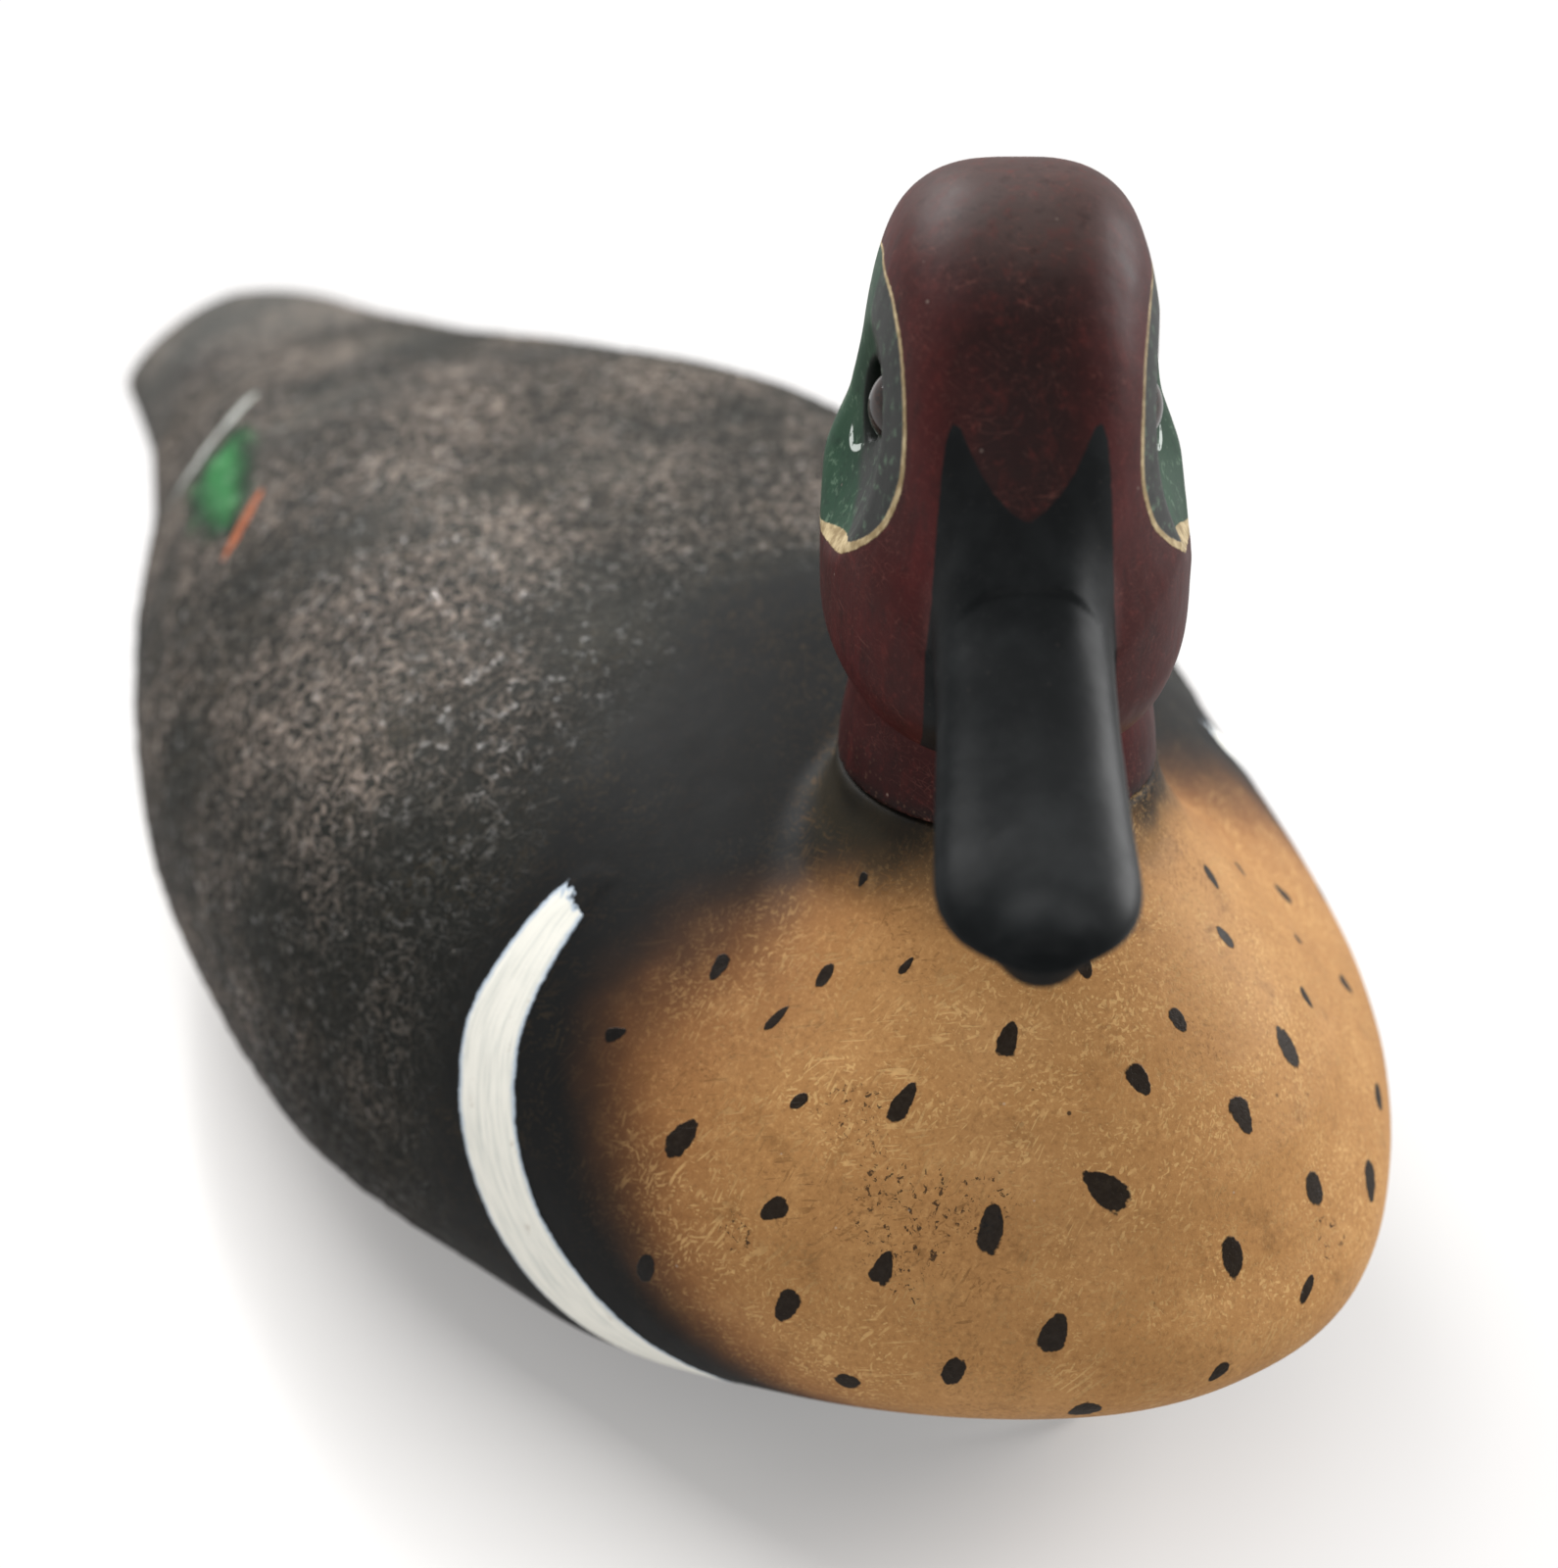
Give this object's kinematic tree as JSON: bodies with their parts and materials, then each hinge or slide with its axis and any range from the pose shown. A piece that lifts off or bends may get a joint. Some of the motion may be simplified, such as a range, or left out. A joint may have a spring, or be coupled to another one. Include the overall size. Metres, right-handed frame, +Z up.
{
  "type": "floating duck decoy",
  "caption": "Flat-bottomed hollow wooden duck decoy with a carved head that turns on its neck, glass eyes, let-in lead ballast and a ring line tie.",
  "frame": {"origin": "centre of the overall box fore and aft and side to side, at the level of the flat base the decoy stands on", "axes": "+Z up, -Y toward the duck's breast, +X toward the duck's own left side; the head at rest is turned about 32 degrees toward the duck's right"},
  "size_m": [0.1401, 0.2864, 0.1514],
  "materials": {
    "painted_body": "hand painted, tan breast and dark textured back, low sheen",
    "painted_head": "hand painted chestnut with a satin black bill",
    "hardwood": "plain turned dowel",
    "lead": "dull cast lead",
    "brass": "dulled brass",
    "steel": "plain stainless",
    "nylon": "matt black nylon",
    "eye_glass": "polished dark brown glass",
    "eye_putty": "painted filler"
  },
  "bodies": {
    "hull": {"body_upper": "painted_body", "body_base": "painted_body", "seam_dowels": "hardwood", "ballast_pad": "lead", "ballast_screws": "brass", "tie_staple": "brass", "neck_bushing": "brass", "neck_disc": "nylon"},
    "head": {"head": "painted_head", "head_insert": "brass", "neck_stud": "steel", "neck_washer": "steel", "neck_spring": "steel", "neck_nut": "steel", "eye_left": "eye_glass", "eye_right": "eye_glass", "eye_bed_left": "eye_putty", "eye_bed_right": "eye_putty"},
    "ring": {"tie_ring": "brass"}
  },
  "joints": [
    {"name": "head_turn", "type": "hinge", "parent": "hull", "child": "head", "pos_m": [0, -0.088, 0.084], "axis": [0, 0, 1], "continuous": true},
    {"name": "ring_swing", "type": "hinge", "parent": "hull", "child": "ring", "pos_m": [0, -0.1113, 0.01104], "axis": [1, 0, 0], "range_deg": [-75, 45]}
  ]
}
